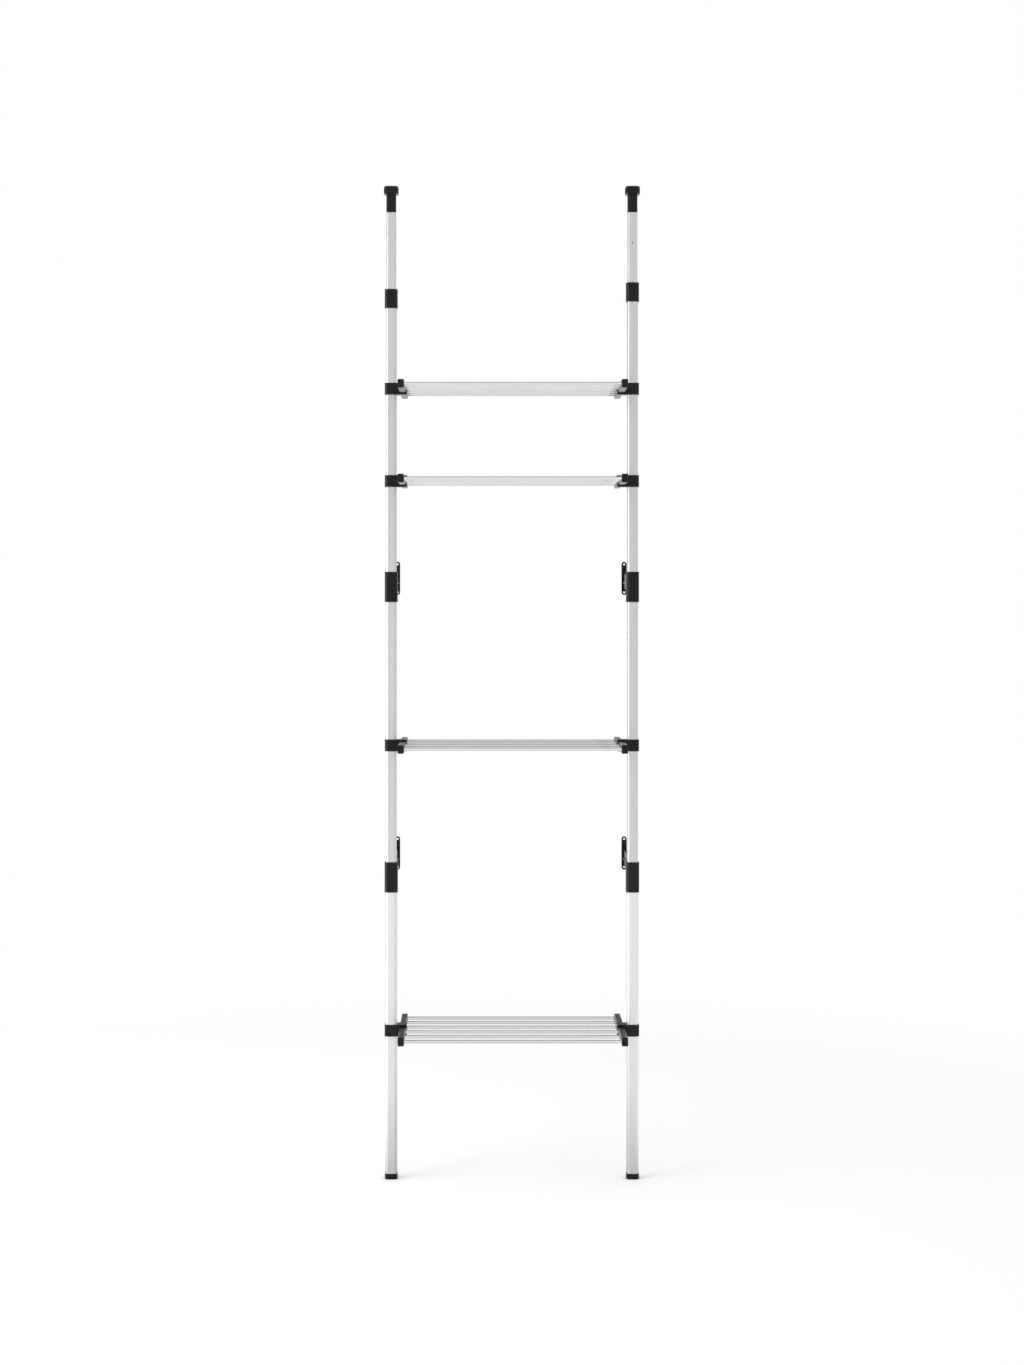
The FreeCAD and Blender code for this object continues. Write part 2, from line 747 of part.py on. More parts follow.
def shelf_tubes(label):
    """Six bright tubes side by side, let into the end bars at both ends."""
    body = new_body(label)
    clear_width = size.pole_spacing - 2 * (size.end_bar_gap + size.end_bar_width)
    section = new_sketch(body, "YZ")
    first_tube = -size.shelf_tube_pitch * (SHELF_TUBES - 1) / 2
    draw_circle(section, first_tube, 0, size.shelf_tube_diameter)
    draw_circle(section, first_tube, 0, size.shelf_tube_diameter - 2 * size.shelf_tube_wall)
    pad = add_pad(body, section, clear_width + 2 * size.socket_depth, symmetric=True)
    repeat_along(body, pad, "Y", size.shelf_tube_pitch * (SHELF_TUBES - 1), SHELF_TUBES)
    return body


# ---------------------------------------------------------------- the unit, put together

nodes = []
lower_collar_base = size.lower_collar_level - size.wall_collar_length / 2
upper_collar_base = size.upper_collar_level - size.wall_collar_length / 2
lower_seat = size.foot_floor + size.bottom_tube_length - lower_collar_base
lower_screw_levels = [size.screw_row, size.wall_collar_length / 2]
lock_screw_levels = [size.collar_seat / 2, (size.collar_seat + size.lock_collar_length) / 2]
shoulder = size.ceiling_level - size.pad_thickness - size.head_height - size.stem_length
top_tube_base = shoulder - size.running_gap - size.top_tube_length


def keep(body, across, depth, level, turn=0):
    """Places a finished piece and notes it for export."""
    nodes.append(place(body, across, depth, level, turn))


def on_pole(body, side, level, turn=0):
    keep(body, side * size.pole_spacing / 2, size.pole_plane, level, turn)


def bottom_section(name, side):
    """Foot, bottom tube and the wall collar that guides the middle tube."""
    on_pole(foot_cap("foot_cap_" + name), side, 0)
    bottom = tube(
        "bottom_tube_" + name, size.bottom_tube_width, size.bottom_tube_corner, size.bottom_tube_length)
    on_pole(bottom, side, size.foot_floor)
    stages = [
        (size.bottom_tube_width, size.bottom_tube_corner, lower_seat),
        (*running_bore(middle_tube_width, middle_tube_corner), size.wall_collar_length - lower_seat),
    ]
    collar = wall_collar("lower_wall_collar_" + name, size.wide_collar_width, stages, lower_screw_levels)
    on_pole(collar, side, lower_collar_base)
    on_pole(wall_arm("lower_wall_arm_" + name, size.wide_collar_width, side), side, size.lower_arm_level)


def middle_section(name, side):
    """Middle tube with its glide plug, lock collar and sliding wall collar."""
    lock_base = getattr(size, "lock_level_" + name) - size.lock_collar_length / 2
    base = lock_base + size.collar_seat - size.middle_tube_length
    middle = tube("middle_tube_" + name, middle_tube_width, middle_tube_corner, size.middle_tube_length)
    on_pole(middle, side, base)
    plug = glide_plug("middle_tube_plug_" + name, middle_tube_width, middle_tube_corner)
    on_pole(plug, side, base - size.plug_flange)
    on_pole(lock_collar("lock_collar_" + name), side, lock_base)
    stages = [(*running_bore(middle_tube_width, middle_tube_corner), size.wall_collar_length)]
    collar = wall_collar(
        "upper_wall_collar_" + name, size.narrow_collar_width, stages, [size.screw_row])
    on_pole(collar, side, upper_collar_base)
    tip = middle_tube_width / 2 + size.running_gap
    screw = grub_screws("upper_collar_screw_" + name, [(0, tip, size.screw_row)])
    on_pole(screw, side, upper_collar_base)
    on_pole(wall_arm("upper_wall_arm_" + name, size.narrow_collar_width, side), side, size.upper_arm_level)


def top_section(name, side):
    """Top tube with its sprung ceiling plunger; the left tube is turned by a quarter."""
    turn = 0 if side > 0 else 90
    pin_level = shoulder - size.cross_pin_depth
    top = tube("top_tube_" + name, top_tube_width, top_tube_corner, size.top_tube_length)
    pin_hole = new_sketch(top, "XZ")
    draw_circle(pin_hole, 0, pin_level - top_tube_base, size.cross_pin_diameter)
    cut_pocket(top, pin_hole, 2 * top_tube_width, symmetric=True)
    on_pole(top, side, top_tube_base, turn)
    plug = glide_plug("top_tube_plug_" + name, top_tube_width, top_tube_corner)
    on_pole(plug, side, top_tube_base - size.plug_flange)
    on_pole(cross_pin("cross_pin_" + name), side, pin_level, turn)
    on_pole(ceiling_plunger("ceiling_plunger_" + name), side, shoulder, turn)
    on_pole(ceiling_pad("ceiling_pad_" + name), side, size.ceiling_level - size.pad_thickness)
    spring_base = top_tube_base + size.plug_depth
    spring = tension_spring("tension_spring_" + name, shoulder - size.shank_length - spring_base)
    on_pole(spring, side, spring_base)


def collar_screws():
    """The screws of both lower wall collars and of both lock collars."""
    lower_spots, lock_spots = [], []
    for name, side in SIDES.items():
        across = side * size.pole_spacing / 2
        lock_base = getattr(size, "lock_level_" + name) - size.lock_collar_length / 2
        lower_spots += [
            (across, size.bottom_tube_width / 2, lower_collar_base + lower_screw_levels[0]),
            (across, middle_tube_width / 2 + size.running_gap, lower_collar_base + lower_screw_levels[1]),
        ]
        lock_spots += [
            (across, middle_tube_width / 2, lock_base + lock_screw_levels[0]),
            (across, top_tube_width / 2 + size.running_gap, lock_base + lock_screw_levels[1]),
        ]
    keep(grub_screws("lower_collar_screws", lower_spots), 0, size.pole_plane, 0)
    keep(grub_screws("lock_collar_screws", lock_spots), 0, size.pole_plane, 0)


def shelf(number, word):
    """One shelf: two clamps, two end bars, the tubes between them and the clamp screws."""
    level = getattr(size, "shelf_level_" + word)
    lowest = number == len(SHELF_WORDS)
    tube_width = size.bottom_tube_width if lowest else middle_tube_width
    tube_corner = size.bottom_tube_corner if lowest else middle_tube_corner
    collar_width = size.wide_collar_width if lowest else size.narrow_collar_width
    bar_middle = size.end_bar_gap + size.end_bar_width / 2
    prefix = f"shelf_{number}_"
    for name, side in SIDES.items():
        clamp = shelf_clamp(prefix + "clamp_" + name, tube_width, tube_corner, collar_width, side)
        on_pole(clamp, side, level)
        bar_across = side * (size.pole_spacing / 2 - bar_middle)
        keep(end_bar(prefix + "end_bar_" + name, side), bar_across, size.pole_plane, level)
    keep(shelf_tubes(prefix + "tubes"), 0, size.pole_plane, level)
    tip = tube_width / 2 + size.running_gap
    spots = [(side * size.pole_spacing / 2, tip, 0) for side in SIDES.values()]
    keep(grub_screws(prefix + "screws", spots), 0, size.pole_plane, level)


for name, side in SIDES.items():
    bottom_section(name, side)
    middle_section(name, side)
    top_section(name, side)
collar_screws()
for number, word in enumerate(SHELF_WORDS, start=1):
    shelf(number, word)
document.recompute()

# ---------------------------------------------------------------- checks and export

for item in document.Objects:
    if "Invalid" in item.State or "Error" in item.State:
        raise RuntimeError(f"{item.Label} failed: {item.State}")
for node in nodes:
    if node.Shape.isNull() or not node.Shape.isValid():
        raise RuntimeError(node.Label + " has no valid shape")

os.makedirs(PARTS_FOLDER, exist_ok=True)
for node in nodes:
    node.Shape.exportStep(os.path.join(PARTS_FOLDER, node.Label + ".step"))
    box = node.Shape.BoundBox
    print(
        f"{node.Label}: {len(node.Shape.Solids)} solid(s), {node.Shape.Volume:.0f} mm3, "
        f"z {box.ZMin:.1f} to {box.ZMax:.1f}")
print(len(nodes), "nodes")
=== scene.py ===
import math

import bmesh
import bpy
from mathutils import Matrix, Vector


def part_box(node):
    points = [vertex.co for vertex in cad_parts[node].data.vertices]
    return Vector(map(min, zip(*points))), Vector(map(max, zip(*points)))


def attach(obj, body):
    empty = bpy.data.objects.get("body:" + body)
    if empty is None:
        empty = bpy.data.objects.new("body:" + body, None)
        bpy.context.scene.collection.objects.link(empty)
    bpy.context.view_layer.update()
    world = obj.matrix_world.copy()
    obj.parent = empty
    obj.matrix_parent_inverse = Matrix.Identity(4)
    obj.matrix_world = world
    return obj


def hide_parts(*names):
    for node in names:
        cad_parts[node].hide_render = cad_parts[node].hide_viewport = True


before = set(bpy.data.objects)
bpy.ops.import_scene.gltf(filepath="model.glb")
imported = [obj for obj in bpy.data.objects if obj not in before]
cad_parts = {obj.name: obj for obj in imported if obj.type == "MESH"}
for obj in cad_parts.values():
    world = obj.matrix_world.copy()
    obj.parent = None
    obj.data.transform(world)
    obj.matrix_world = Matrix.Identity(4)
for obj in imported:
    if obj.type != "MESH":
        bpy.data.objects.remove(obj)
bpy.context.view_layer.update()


# ---------------------------------------------------------------- the room
# The unit stands on the pale floor of a white studio.  A tall panel on the left and a wide one
# overhead light it softly.  Flags all round, and a grey card on the floor under the shelves, are
# seen in gloss alone and give the metal and the black mouldings their tone.

def add_object(name, data):
    thing = bpy.data.objects.new(name, data)
    bpy.context.scene.collection.objects.link(thing)
    return thing


def node_maker(tree):
    """A function that adds a node of a kind to the tree and sets its options."""
    def make(kind, **options):
        node = tree.nodes.new(kind)
        for name, value in options.items():
            setattr(node, name, value)
        return node
    return make


def effect_group(name, inputs, outputs):
    """A shader node group with named (socket kind, default) inputs and outputs of named kinds."""
    tree = bpy.data.node_groups.new(name, "ShaderNodeTree")
    for label, (kind, default) in inputs.items():
        socket = tree.interface.new_socket(label, in_out="INPUT", socket_type="NodeSocket" + kind)
        socket.default_value = default
    for label, kind in outputs.items():
        tree.interface.new_socket(label, in_out="OUTPUT", socket_type="NodeSocket" + kind)
    make = node_maker(tree)
    return tree, make, tree.links.new, make("NodeGroupInput"), make("NodeGroupOutput")


def use_group(make, tree, **values):
    """Places an effect group in a node tree and sets its inputs."""
    node = make("ShaderNodeGroup", node_tree=tree)
    for label, value in values.items():
        node.inputs[label].default_value = value
    return node


def cleared(owner):
    """Empties the owner's node tree and returns what adds nodes and links to it."""
    owner.use_nodes = True
    owner.node_tree.nodes.clear()
    return node_maker(owner.node_tree), owner.node_tree.links.new


def map_range(make, link, factor, start, end, low, high, kind="LINEAR"):
    """A value that runs from low to high as the factor goes from start to end."""
    ramp = make("ShaderNodeMapRange", interpolation_type=kind)
    for label, value in (("From Min", start), ("From Max", end), ("To Min", low), ("To Max", high)):
        ramp.inputs[label].default_value = value
    link(factor, ramp.inputs["Value"])
    return ramp.outputs["Result"]


def multiplied(make, link, first, second):
    product = make("ShaderNodeMath", operation="MULTIPLY")
    link(first, product.inputs[0])
    link(second, product.inputs[1])
    return product.outputs[0]


def faded_in(make, link, mask, value):
    """One where the mask is 0 and the value where it is 1."""
    blend = make("ShaderNodeMix", data_type="FLOAT")
    blend.inputs["A"].default_value = 1.0
    link(mask, blend.inputs["Factor"])
    link(value, blend.inputs["B"])
    return blend.outputs["Result"]


# How pale each flag is, where 1 is white.  Its reach says where along X, Y or Z of a unit direction
# it fades, and its lift between which heights its tone changes.
front_tones, front_reach, front_lift = (0.78, 1.12), (-1.0, -0.5), (0.2, 0.4)
right_tones, right_reach, right_lift = (0.68, 1.05), (0.35, 0.95), (0.0, 0.14)
left_tone, left_reach = 0.68, (-0.95, -0.35)
ceiling_tone, ceiling_reach = 0.48, (0.65, 0.87)
back_tone, back_reach, back_lift = 0.12, (0.3, 0.8), (0.1, 0.18)


def build_flags():
    """How pale the room that gloss shows is in a direction from the unit."""
    tree, make, link, given, result = effect_group(
        "grey_flags", {"Direction": ("Vector", (0.0, 1.0, 0.0))}, {"Paleness": "Float"})
    direction = make("ShaderNodeVectorMath", operation="NORMALIZE")
    parts = make("ShaderNodeSeparateXYZ")
    link(given.outputs["Direction"], direction.inputs[0])
    link(direction.outputs["Vector"], parts.inputs["Vector"])

    def fade(axis, reach, values):
        """A smooth change from one value to another along one axis of the direction."""
        return map_range(make, link, parts.outputs[axis], *reach, *values, "SMOOTHSTEP")

    front = faded_in(
        make, link, fade("Y", front_reach, (1.0, 0.0)), fade("Z", front_lift, front_tones))
    right = faded_in(
        make, link, fade("X", right_reach, (0.0, 1.0)), fade("Z", right_lift, right_tones))
    left = fade("X", left_reach, (left_tone, 1.0))
    ceiling = fade("Z", ceiling_reach, (1.0, ceiling_tone))
    high_behind = multiplied(
        make, link, fade("Y", back_reach, (0.0, 1.0)), fade("Z", back_lift, (0.0, 1.0)))
    back = map_range(make, link, high_behind, 0.0, 1.0, 1.0, back_tone)
    paleness = front
    for flag in (right, left, ceiling, back):
        paleness = multiplied(make, link, paleness, flag)
    link(paleness, result.inputs["Paleness"])
    return tree


grey_flags = build_flags()


def either_ray(make, link, *labels):
    """One for rays of the named kinds and nothing for the others."""
    ray = make("ShaderNodeLightPath")
    found = ray.outputs[labels[0]]
    for label in labels[1:]:
        either = make("ShaderNodeMath", operation="MAXIMUM")
        link(found, either.inputs[0])
        link(ray.outputs[label], either.inputs[1])
        found = either.outputs[0]
    return found


def white_or_flagged(make, link, paleness):
    """White for the eye and through glass, as pale as given for gloss."""
    shown = make("ShaderNodeMix", data_type="FLOAT")
    link(either_ray(make, link, "Is Camera Ray", "Is Transmission Ray"), shown.inputs["Factor"])
    link(paleness, shown.inputs["A"])
    shown.inputs["B"].default_value = 1.0
    return shown.outputs["Result"]


seen_rays = ("Is Camera Ray", "Is Glossy Ray", "Is Transmission Ray")


def light_panel(name, place, aim, width, height, watts, in_gloss):
    """A soft rectangular light that the camera doesn't see."""
    lamp = bpy.data.lights.new(name, "AREA")
    lamp.shape = "RECTANGLE"
    lamp.size, lamp.size_y, lamp.energy = width, height, watts
    panel = add_object(name, lamp)
    panel.location = place
    panel.rotation_euler = (Vector(aim) - Vector(place)).to_track_quat("-Z", "Y").to_euler()
    panel.visible_camera = False
    panel.visible_glossy = in_gloss


floor_half, floor_drop = 30.0, 0.0003
lit_radius, white_radius, flag_radius = 1.1, 2.5, 9.0
card_inner, card_outer, card_paleness = 0.3, 0.75, 0.5
floor_mesh = bpy.data.meshes.new("studio_floor")
floor_mesh.from_pydata(
    [(x * floor_half, y * floor_half, -floor_drop)
     for x, y in ((-1, -1), (1, -1), (1, 1), (-1, 1))],
    [], [(0, 1, 2, 3)])
floor = add_object("studio_floor", floor_mesh)
floor_paint = bpy.data.materials.new("floor_paint")
make, link = cleared(floor_paint)
lit_floor, far_floor = make("ShaderNodeBsdfPrincipled"), make("ShaderNodeEmission")
lit_floor.inputs["Base Color"].default_value = (0.96, 0.96, 0.96, 1)
lit_floor.inputs["Roughness"].default_value = 0.85
lit_floor.inputs["Specular IOR Level"].default_value = 0.1
spot, distance = make("ShaderNodeTexCoord"), make("ShaderNodeVectorMath", operation="LENGTH")
link(spot.outputs["Object"], distance.inputs[0])
beyond_lit = map_range(
    make, link, distance.outputs["Value"], lit_radius, white_radius, 0.0, 1.0, "SMOOTHSTEP")
beyond_white = map_range(
    make, link, distance.outputs["Value"], white_radius, flag_radius, 0.0, 1.0, "SMOOTHSTEP")
flags = use_group(make, grey_flags)
link(spot.outputs["Object"], flags.inputs["Direction"])
paleness = faded_in(make, link, beyond_white, flags.outputs["Paleness"])
link(white_or_flagged(make, link, paleness), far_floor.inputs["Strength"])
either_floor = make("ShaderNodeMixShader")
seen_beyond_lit = multiplied(make, link, beyond_lit, either_ray(make, link, *seen_rays))
link(seen_beyond_lit, either_floor.inputs["Fac"])
link(lit_floor.outputs["BSDF"], either_floor.inputs[1])
link(far_floor.outputs["Emission"], either_floor.inputs[2])
card, with_card = make("ShaderNodeEmission"), make("ShaderNodeMixShader")
card.inputs["Strength"].default_value = card_paleness
on_card = map_range(
    make, link, distance.outputs["Value"], card_inner, card_outer, 1.0, 0.0, "SMOOTHSTEP")
glossy_on_card = multiplied(make, link, on_card, either_ray(make, link, "Is Glossy Ray"))
link(glossy_on_card, with_card.inputs["Fac"])
link(either_floor.outputs["Shader"], with_card.inputs[1])
link(card.outputs["Emission"], with_card.inputs[2])
link(with_card.outputs["Shader"], make("ShaderNodeOutputMaterial").inputs["Surface"])
floor_mesh.materials.append(floor_paint)

light_panel(
    "left_panel", place=(-2.9, -1.4, 1.45), aim=(0, 0, 1.35), width=2.2, height=2.8, watts=52,
    in_gloss=True)
light_panel(
    "overhead_panel", place=(-0.4, -0.4, 4.8), aim=(0, 0, 0), width=4.4, height=4.4, watts=45,
    in_gloss=False)

world = bpy.data.worlds.new("studio_room")
bpy.context.scene.world = world
make, link = cleared(world)
backdrop, ambient = make("ShaderNodeBackground"), make("ShaderNodeBackground")
ambient.inputs["Color"].default_value = (1, 1, 1, 1)
ambient.inputs["Strength"].default_value = 0.84
backdrop.inputs["Color"].default_value = (1, 1, 1, 1)
flags = use_group(make, grey_flags)
link(make("ShaderNodeTexCoord").outputs["Generated"], flags.inputs["Direction"])
link(white_or_flagged(make, link, flags.outputs["Paleness"]), backdrop.inputs["Strength"])
choice = make("ShaderNodeMixShader")
link(either_ray(make, link, *seen_rays), choice.inputs["Fac"])
link(ambient.outputs[0], choice.inputs[1])
link(backdrop.outputs[0], choice.inputs[2])
link(choice.outputs[0], make("ShaderNodeOutputWorld").inputs["Surface"])

lens = bpy.data.cameras.new("eye")
lens.sensor_fit, lens.sensor_height, lens.lens = "VERTICAL", 36.0, 57.71
lens.shift_x, lens.shift_y = 0.0249, -0.06425
lens.clip_end = 200.0
eye = add_object("eye", lens)
eye.location = (-0.082, -5.31, 1.412)
eye.rotation_euler = (math.pi / 2, 0, 0)
bpy.context.scene.camera = eye
bpy.context.scene.view_settings.view_transform = "Standard"


# ---------------------------------------------------------------- feet
# Injection-moulded cups of black ABS, pushed over the lower ends of the poles.  Each has a small
# round at the floor, a softened rim and square grooves underneath that keep it from slipping.

def build_edge_wear():
    """Normals rounded over the edges, and how rubbed the surface is where they leave its own."""
    tree, make, link, given, result = effect_group(
        "edge_wear", {"Width": ("Float", 0.0008), "Breakup": ("Float", 240.0)},
        {"Worn": "Float", "Rounded": "Vector"})
    rounded, surface = make("ShaderNodeBevel", samples=4), make("ShaderNodeNewGeometry")
    agreement = make("ShaderNodeVectorMath", operation="DOT_PRODUCT")
    place, speckle = make("ShaderNodeTexCoord"), make("ShaderNodeTexNoise")
    worn = make("ShaderNodeMath", operation="MULTIPLY")
    unworn_agreement, worn_agreement = 0.998, 0.9
    speckle_low, speckle_high = 0.38, 0.62
    at_edge = map_range(
        make, link, agreement.outputs["Value"], unworn_agreement, worn_agreement, 0.0, 1.0)
    in_speckle = map_range(
        make, link, speckle.outputs["Fac"], speckle_low, speckle_high, 0.0, 1.0)
    link(given.outputs["Width"], rounded.inputs["Radius"])
    link(rounded.outputs["Normal"], agreement.inputs[0])
    link(surface.outputs["Normal"], agreement.inputs[1])
    link(place.outputs["Object"], speckle.inputs["Vector"])
    link(given.outputs["Breakup"], speckle.inputs["Scale"])
    link(at_edge, worn.inputs[0])
    link(in_speckle, worn.inputs[1])
    link(worn.outputs[0], result.inputs["Worn"])
    link(rounded.outputs["Normal"], result.inputs["Rounded"])
    return tree


def build_moulded_skin():
    """Slow clouds from the melt's flow, and the fine orange-peel skin of a polished mould."""
    tree, make, link, given, result = effect_group(
        "moulded_skin", {"Flow": ("Float", 18.0), "Peel": ("Float", 1400.0)},
        {"Clouds": "Float", "Skin": "Float"})
    place = make("ShaderNodeTexCoord")
    clouds, skin = make("ShaderNodeTexNoise"), make("ShaderNodeTexNoise")
    clouds.inputs["Detail"].default_value = 4
    clouds.inputs["Distortion"].default_value = 1.2
    skin.inputs["Detail"].default_value = 2
    for noise, scale, label in ((clouds, "Flow", "Clouds"), (skin, "Peel", "Skin")):
        link(place.outputs["Object"], noise.inputs["Vector"])
        link(given.outputs[scale], noise.inputs["Scale"])
        link(noise.outputs["Fac"], result.inputs[label])
    return tree


edge_wear = build_edge_wear()
moulded_skin = build_moulded_skin()
noise_low, noise_high = 0.3, 0.7
wear_dulling = 0.15


def blend_colours(make, link, factor, first, second):
    """A colour that goes from first to second as the factor goes from 0 to 1."""
    mix = make("ShaderNodeMix", data_type="RGBA")
    link(factor, mix.inputs["Factor"])
    for socket, colour in ((mix.inputs["A"], first), (mix.inputs["B"], second)):
        if isinstance(colour, bpy.types.NodeSocket):
            link(colour, socket)
        else:
            socket.default_value = (*colour, 1)
    return mix.outputs["Result"]


def moulding(name, dark, pale, rubbed, smooth, rough, gloss, peel_depth):
    """A moulded plastic or rubber: cloudy colour, skin, and edges rubbed paler and duller."""
    material = bpy.data.materials.new(name)
    make, link = cleared(material)
    skin = use_group(make, moulded_skin)
    wear = use_group(make, edge_wear)
    shader = make("ShaderNodeBsdfPrincipled")
    shader.inputs["Specular IOR Level"].default_value = gloss
    clouds = blend_colours(make, link, skin.outputs["Clouds"], dark, pale)
    colour = blend_colours(make, link, wear.outputs["Worn"], clouds, rubbed)
    link(colour, shader.inputs["Base Color"])
    ground = map_range(make, link, skin.outputs["Clouds"], noise_low, noise_high, smooth, rough)
    duller = make("ShaderNodeMath", operation="MULTIPLY_ADD", use_clamp=True)
    duller.inputs[1].default_value = wear_dulling
    link(wear.outputs["Worn"], duller.inputs[0])
    link(ground, duller.inputs[2])
    link(duller.outputs[0], shader.inputs["Roughness"])
    bump = make("ShaderNodeBump")
    bump.inputs["Strength"].default_value = 0.4
    bump.inputs["Distance"].default_value = peel_depth
    link(skin.outputs["Skin"], bump.inputs["Height"])
    link(wear.outputs["Rounded"], bump.inputs["Normal"])
    link(bump.outputs["Normal"], shader.inputs["Normal"])
    link(shader.outputs["BSDF"], make("ShaderNodeOutputMaterial").inputs["Surface"])
    return material


black_moulding = moulding(
    "black_moulding", dark=(0.002, 0.002, 0.002), pale=(0.004, 0.004, 0.004),
    rubbed=(0.02, 0.02, 0.02), smooth=0.2, rough=0.3, gloss=0.27, peel_depth=0.00003)


def rounded_outline(half_across, half_along, corner, place, corner_steps=9):
    """Points round a rectangle with round corners; place(across, along) gives each its spot."""
    points = []
    for turn, (x, y) in enumerate(((1, 1), (-1, 1), (-1, -1), (1, -1))):
        for step in range(corner_steps + 1):
            angle = (turn + step / corner_steps) * math.pi / 2
            points.append(place(
                x * (half_across - corner) + corner * math.cos(angle),
                y * (half_along - corner) + corner * math.sin(angle)))
    return points


def skin_over(name, outlines, sharp_degrees=32):
    """A closed mesh over a row of outlines with equally many points, sharp at steep edges alone."""
    mesh = bpy.data.meshes.new(name)
    build = bmesh.new()
    rows = [[build.verts.new(point) for point in outline] for outline in outlines]
    for low, high in zip(rows, rows[1:]):
        for number in range(len(low)):
            following = (number + 1) % len(low)
            build.faces.new((low[number], low[following], high[following], high[number]))
    build.faces.new(rows[0])
    build.faces.new(rows[-1])
    bmesh.ops.recalc_face_normals(build, faces=build.faces)
    build.to_mesh(mesh)
    build.free()
    mesh.shade_smooth()
    mesh.set_sharp_from_angle(angle=math.radians(sharp_degrees))
    return mesh


def add_skin(name, outlines):
    """An object whose mesh is drawn over a row of outlines."""
    return add_object(name, skin_over(name, outlines))


def dress(piece, material, body, slot, *replaced):
    """Gives a finished piece its material, hangs it on its body's empty and hides the solids it
    stands in for.
    """
    if not piece.data.materials:
        piece.data.materials.append(material)
    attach(piece, body)
    if replaced:
        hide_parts(*replaced)


def upright_rings(centre_x, centre_y, base, rings):
    """Rounded squares one above another, each given as (half width, corner, height)."""
    return [
        rounded_outline(
            half, half, corner, lambda u, v, z=base + height: (centre_x + u, centre_y + v, z))
        for half, corner, height in rings
    ]


def quarter_round(radius, steps=4):
    """Points round an edge, as (distance in from the side, distance in from the end)."""
    leans = [step * math.pi / 2 / steps for step in range(steps + 1)]
    return [(radius * (1 - math.sin(lean)), radius * (1 - math.cos(lean))) for lean in leans]


pole_x, pole_y = 0.292, -0.010
side_of = {"left": -1, "right": 1}
foot_half, foot_corner, foot_rim, foot_round, rim_round = 0.0153, 0.0087, 0.013, 0.0008, 0.0004
sole_groove, ridge_flank, edge_ridge = 0.0005, 0.0002, 0.0014
first_ridge, ridge_pitch, ridge_width, ridge_count = 0.0022, 0.0042, 0.0030, 3
inner_squareness, outer_squareness = 3, 2
step_height, step_drop, step_in = 0.0064, 0.0002, 0.0001
socket_half, socket_corner, socket_floor, socket_draft = 0.0142, 0.0076, 0.0042, 0.00005
sole_centre, socket_centre = (0.0014, 0.0004), (0.0010, 0.0004)
foot_rings = [(*sole_centre, sole_groove)]
for ridge in range(ridge_count):
    inner = first_ridge + ridge * ridge_pitch
    outer = inner + ridge_width
    inner_corner, outer_corner = inner / inner_squareness, inner / outer_squareness
    foot_rings += [
        (inner, inner_corner, sole_groove), (inner + ridge_flank, inner_corner, 0.0),
        (outer - ridge_flank, outer_corner, 0.0), (outer, outer_corner, sole_groove),
    ]
edge_rings = [(edge_ridge, sole_groove), (edge_ridge - ridge_flank, 0.0)]
for inset, height in edge_rings + quarter_round(foot_round)[1:]:
    foot_rings.append((foot_half - inset, foot_corner - inset, height))
foot_rings += [
    (foot_half, foot_corner, step_height),
    (foot_half - step_in, foot_corner, step_height + step_drop),
    (foot_half - step_in, foot_corner, foot_rim - rim_round),
    (foot_half - step_in - rim_round, foot_corner - rim_round, foot_rim),
    (socket_half, socket_corner, foot_rim),
    (socket_half - socket_draft, socket_corner, socket_floor),
    (*socket_centre, socket_floor),
]
for side_name, side in side_of.items():
    foot = add_skin(
        "foot_" + side_name, upright_rings(side * pole_x, pole_y, 0.0, foot_rings))
    dress(foot, black_moulding, "bottom_frame", "black_plastic", "foot_cap_" + side_name)


# ---------------------------------------------------------------- poles
# Rounded square tubes of extruded aluminium in three nesting sizes, clear anodised.  The die
# leaves faint straight lines along them.  All tubes have one finish, painted in two copies: the
# bottom tubes' paler copy is painted light, the upper tubes' greyer copy painted shade.

def build_drawn_lines():
    """Straight lines left by the die, and slow clouds of the anodised film over them."""
    tree, make, link, given, result = effect_group(
        "drawn_lines", {"Across": ("Vector", (1.0, 1.0, 0.0)), "Fineness": ("Float", 900.0)},
        {"Lines": "Float", "Clouds": "Float"})
    place = make("ShaderNodeTexCoord")
    stretched = make("ShaderNodeVectorMath", operation="MULTIPLY")
    lines, clouds = make("ShaderNodeTexNoise"), make("ShaderNodeTexNoise")
    lines.inputs["Detail"].default_value = 5
    clouds.inputs["Scale"].default_value = 9.0
    clouds.inputs["Detail"].default_value = 3
    link(place.outputs["Object"], stretched.inputs[0])
    link(given.outputs["Across"], stretched.inputs[1])
    link(stretched.outputs[0], lines.inputs["Vector"])
    link(given.outputs["Fineness"], lines.inputs["Scale"])
    link(place.outputs["Object"], clouds.inputs["Vector"])
    link(lines.outputs["Fac"], result.inputs["Lines"])
    link(clouds.outputs["Fac"], result.inputs["Clouds"])
    return tree


drawn_lines = build_drawn_lines()
metal_edge_width = 0.0006


